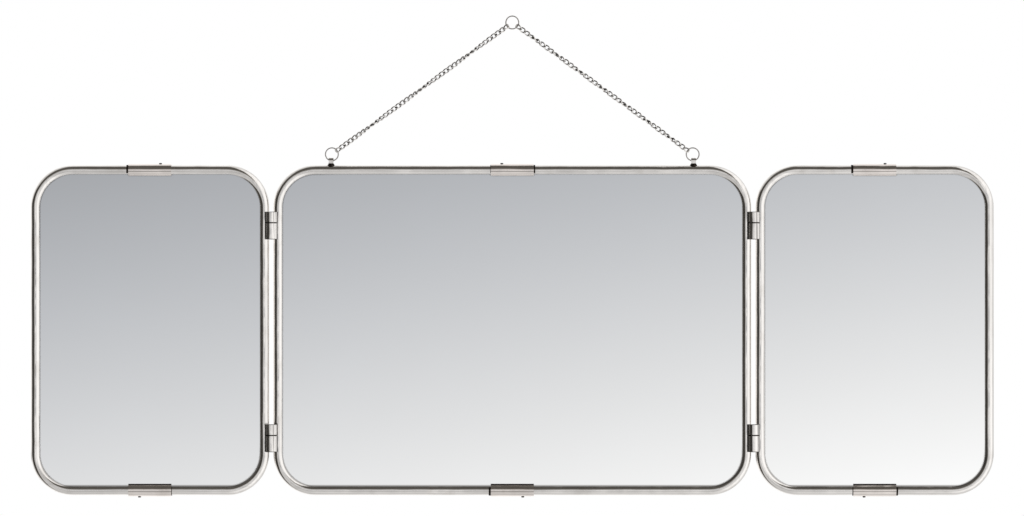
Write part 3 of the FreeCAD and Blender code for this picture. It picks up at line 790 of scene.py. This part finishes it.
FLOOR_HEIGHT = -0.62
FLOOR_RADIUS = 2.6
FLOOR_SIDES = 96
FADE_START = 0.9
FLOOR_CLOUDS = (1.5, 2.0, 0.55)
FLOOR_LIMITS = (0.3, 0.7)
FLOOR_TONES = (0.86, 0.88)
FLOOR_ROUGHNESS = 0.9


def floor():
    """A pale floor well under the mirror that fades out all round, unseen from below and by the metal."""
    bm = bmesh.new()
    bmesh.ops.create_circle(bm, cap_ends=True, segments=FLOOR_SIDES, radius=FLOOR_RADIUS)
    ground = finished(bm, "floor")
    ground.location.z = FLOOR_HEIGHT
    material, t = new_material("pale_floor")
    clouds = t.step(t.noise(*FLOOR_CLOUDS), *FLOOR_LIMITS)
    tone = t.mix(clouds, *(grey(value) for value in FLOOR_TONES))
    pale = t.add("BsdfPrincipled", Base_Color=tone, Roughness=FLOOR_ROUGHNESS)
    path = t.add("LightPath").outputs
    hidden = t.math("MAXIMUM", t.add("NewGeometry").outputs["Backfacing"], path["Is Glossy Ray"])
    reach = t.add("VectorMath", {"operation": "LENGTH"})
    t.feed(reach, "0", t.add("TexCoord").outputs["Object"])
    hidden = t.math("MAXIMUM", hidden, t.step(reach.outputs["Value"], FADE_START, FLOOR_RADIUS))
    clear = t.add("BsdfTransparent")
    mixed = t.add("MixShader")
    for key, value in (("0", hidden), ("1", pale), ("2", clear)):
        t.feed(mixed, key, value)
    t.add("OutputMaterial", Surface=mixed)
    ground.data.materials.append(material)


# ---- the studio that the metal and the panes reflect ----
# its angles are in degrees from the direction toward the camera, and its levels are 8-bit greys

AMBIENT = 0.62
LEAST_ACROSS = 1e-6
LEAST_TOWARD = 0.01

# the dark side: where it starts and ends, what each direction adds to that, and its greys
DARK_NEAR = 18.0
DARK_NEAR_LEFT = 9.0
DARK_NEAR_BELOW = 80.0
DARK_BELOW_POWER = 1.6
DARK_FAR = 92.0
DARK_FAR_RIGHT = -95.0
DARK_FAR_CORNER = -36.0
DARK_SOFT = 9.0
DARK_LEVEL = 56
DARK_LEVEL_ABOVE = 80
DARK_ABOVE_LIMITS = (0.3, 0.9)
DARK_TINT = (1.06, 1.0, 0.91, 1.0)

# the pale rest: a white stripe on the right, a darker horizon below, a white wall at the back
RIGHT_SIDE_LIMITS = (-0.2, 0.7)
PALE_LEVEL_LEFT = 195
PALE_LEVEL_RIGHT = 212
STRIPE_LEVEL = 252
STRIPE_START = (6, 46)
STRIPE_END = (98, 62)
STRIPE_WIDER_ABOVE = 60.0
HORIZON_DIP = 0.20
HORIZON_START = (12, 22)
HORIZON_END = (34, 26)
WALL_LEVEL = 250
WALL_START_LEFT = (90, 135)
WALL_START_RIGHT = (140, 175)

# the card in front of the panes: its grey at one row of the photograph and how that changes by
# the pixel, its tint, and its size in slopes and degrees from the direction toward the camera
CARD_LEVEL = 210.5
CARD_LEVEL_ROW = 330
LEVEL_PER_PIXEL_RIGHT = 0.0335
LEVEL_PER_PIXEL_DOWN = 0.173
CARD_DARKEST = 0.55
CARD_TINT_LIMITS = (0.66, 0.97)
CARD_TINT_DARK = (0.972, 1.0, 1.055, 1.0)
CARD_WIDTH_LIMITS = (0.16, 0.10)
CARD_HEIGHT_LIMITS = (0.10, 0.06)
CARD_ANGLE_LIMITS = (60, 50)
PANE_REFLECTANCE = 0.903


def seen(level):
    """The world's strength that clean plate shows as this 8-bit grey level."""
    return linear(level) / SILVER[1]


def dark_side(t, angle, rightward, upward):
    """Where the room is dark: a crescent between two angles, on the left and overhead."""
    on_left = t.negative(rightward)
    near = t.math("MULTIPLY_ADD", on_left, DARK_NEAR_LEFT, DARK_NEAR)
    below = t.math("POWER", t.negative(upward), DARK_BELOW_POWER)
    near = t.math("MULTIPLY_ADD", below, DARK_NEAR_BELOW, near)
    far = t.math("MULTIPLY_ADD", t.positive(rightward), DARK_FAR_RIGHT, DARK_FAR)
    corner = t.math("MULTIPLY", on_left, t.positive(upward))
    far = t.math("MULTIPLY_ADD", corner, DARK_FAR_CORNER, far)
    starts = t.step(t.math("SUBTRACT", angle, near), -DARK_SOFT, DARK_SOFT)
    ends = t.step(t.math("SUBTRACT", angle, far), DARK_SOFT, -DARK_SOFT)
    return t.math("MULTIPLY", starts, ends)


def pale_room(t, angle, rightward, upward):
    """The strength of the rest: pale, with a white stripe on the right and a white wall behind."""
    on_right = t.step(rightward, *RIGHT_SIDE_LIMITS)
    pale = t.between(on_right, seen(PALE_LEVEL_LEFT), seen(PALE_LEVEL_RIGHT))
    upper_right = t.math("MULTIPLY", t.positive(rightward), t.positive(upward))
    outer = t.math("MULTIPLY_ADD", upper_right, -STRIPE_WIDER_ABOVE, angle)
    stripe = t.math("MULTIPLY", t.step(angle, *STRIPE_START), t.step(outer, *STRIPE_END))
    pale = t.between(t.math("MULTIPLY", stripe, on_right), pale, seen(STRIPE_LEVEL))
    horizon = t.math("MULTIPLY", t.step(angle, *HORIZON_START), t.step(angle, *HORIZON_END))
    horizon = t.math("MULTIPLY", horizon, t.negative(upward))
    pale = t.math("MULTIPLY", pale, t.math("MULTIPLY_ADD", horizon, -HORIZON_DIP, 1.0))
    left_wall = t.step(angle, *WALL_START_LEFT)
    right_wall = t.step(angle, *WALL_START_RIGHT)
    return t.between(t.between(on_right, left_wall, right_wall), pale, seen(WALL_LEVEL))


def card_tone(t, right, up):
    """The strength and the tint of the card, a straight ramp of tone in slopes to the right and up."""
    pixels = CAMERA_DISTANCE / METRES_PER_PIXEL
    start = CARD_LEVEL + LEVEL_PER_PIXEL_DOWN * (PHOTO_HEIGHT / 2 - CARD_LEVEL_ROW)
    rise_right = LEVEL_PER_PIXEL_RIGHT * pixels / WHITE_LEVEL
    rise_up = -LEVEL_PER_PIXEL_DOWN * pixels / WHITE_LEVEL
    ramp = t.math("MULTIPLY_ADD", right, rise_right, start / WHITE_LEVEL)
    ramp = t.math("MULTIPLY_ADD", up, rise_up, ramp)
    ramp = t.math("MINIMUM", t.math("MAXIMUM", ramp, CARD_DARKEST), 1.0)
    tint = t.mix(t.step(ramp, *CARD_TINT_LIMITS), CARD_TINT_DARK, grey(1.0))
    strength = t.math("DIVIDE", t.math("ADD", ramp, SRGB_OFFSET), SRGB_SCALE)
    strength = t.math("POWER", strength, SRGB_POWER)
    return t.math("DIVIDE", strength, PANE_REFLECTANCE), tint


def studio_world():
    """What the metal and the panes see: a pale room that is dark on its left and overhead."""
    world = bpy.data.worlds.new("studio")
    bpy.context.scene.world = world
    world.use_nodes = True
    t = Tree(world.node_tree)
    right, away, up = t.coordinates("Generated")
    toward = t.math("MULTIPLY", away, -1.0)
    angle = t.math("DEGREES", t.math("ARCCOSINE", toward))
    across = t.math("MULTIPLY_ADD", away, toward, 1.0)
    across = t.math("SQRT", t.math("MAXIMUM", across, LEAST_ACROSS))
    rightward = t.math("DIVIDE", right, across)
    upward = t.math("DIVIDE", up, across)

    dark = dark_side(t, angle, rightward, upward)
    above = t.step(upward, *DARK_ABOVE_LIMITS)
    depth = t.between(above, seen(DARK_LEVEL), seen(DARK_LEVEL_ABOVE))
    room = t.between(dark, pale_room(t, angle, rightward, upward), depth)
    room_tint = t.mix(dark, grey(1.0), DARK_TINT)

    ahead = t.math("MAXIMUM", toward, LEAST_TOWARD)
    slope_right = t.math("DIVIDE", right, ahead)
    slope_up = t.math("DIVIDE", up, ahead)
    card_strength, card_tint = card_tone(t, slope_right, slope_up)
    in_width = t.step(t.math("ABSOLUTE", slope_right), *CARD_WIDTH_LIMITS)
    in_height = t.step(t.math("ABSOLUTE", slope_up), *CARD_HEIGHT_LIMITS)
    card = t.math("MULTIPLY", in_width, in_height)
    card = t.math("MULTIPLY", card, t.step(angle, *CARD_ANGLE_LIMITS))

    reflected = t.add("VectorMath", {"operation": "SCALE"})
    t.feed(reflected, "0", t.mix(card, room_tint, card_tint))
    t.feed(reflected, "Scale", t.between(card, room, card_strength))

    path = t.add("LightPath").outputs
    sharp = t.math("MAXIMUM", path["Is Glossy Ray"], path["Is Transmission Ray"])
    unseen = t.mix(sharp, grey(AMBIENT), reflected)
    shown = t.mix(path["Is Camera Ray"], unseen, grey(1.0))
    background = t.add("Background", Color=shown, Strength=1.0)
    t.add("OutputWorld", Surface=background)


# ---- lamps and camera ----

# each lamp's name, place, size and power
LAMPS = (
    ("key", (1.6, -2.4, 1.8), 1.8, 60),
    ("fill", (-2.2, -2.0, 0.4), 2.0, 20),
    ("rear", (0.8, 2.4, 1.6), 1.8, 30),
)
LAMP_AIM = Vector((0, 0, -0.3))


def lamp(name, place, size, power):
    """A round soft lamp that shines on the mirror and isn't reflected by it."""
    light = bpy.data.lights.new(name, "AREA")
    light.shape = "DISK"
    light.size = size
    light.energy = power
    thing = new_object(name, light)
    thing.location = place
    thing.rotation_euler = (LAMP_AIM - Vector(place)).to_track_quat("-Z", "Y").to_euler()
    thing.visible_glossy = False


def camera():
    """A camera square to the panes, with the photograph's frame."""
    eye = bpy.data.cameras.new("camera")
    eye.sensor_width = SENSOR_WIDTH
    eye.lens = SENSOR_WIDTH * CAMERA_DISTANCE / (PHOTO_WIDTH * METRES_PER_PIXEL)
    eye.clip_end = CLIP_END
    thing = new_object("camera", eye)
    x = (PHOTO_WIDTH / 2 - ORIGIN_PIXEL[0]) * METRES_PER_PIXEL
    z = (ORIGIN_PIXEL[1] - PHOTO_HEIGHT / 2) * METRES_PER_PIXEL
    thing.location = (x, -CAMERA_DISTANCE, z)
    thing.rotation_euler = (math.pi / 2, 0, 0)
    bpy.context.scene.camera = thing


floor()
studio_world()
for name, place, size, power in LAMPS:
    lamp(name, place, size, power)
camera()

bpy.context.scene.view_settings.view_transform = "Standard"
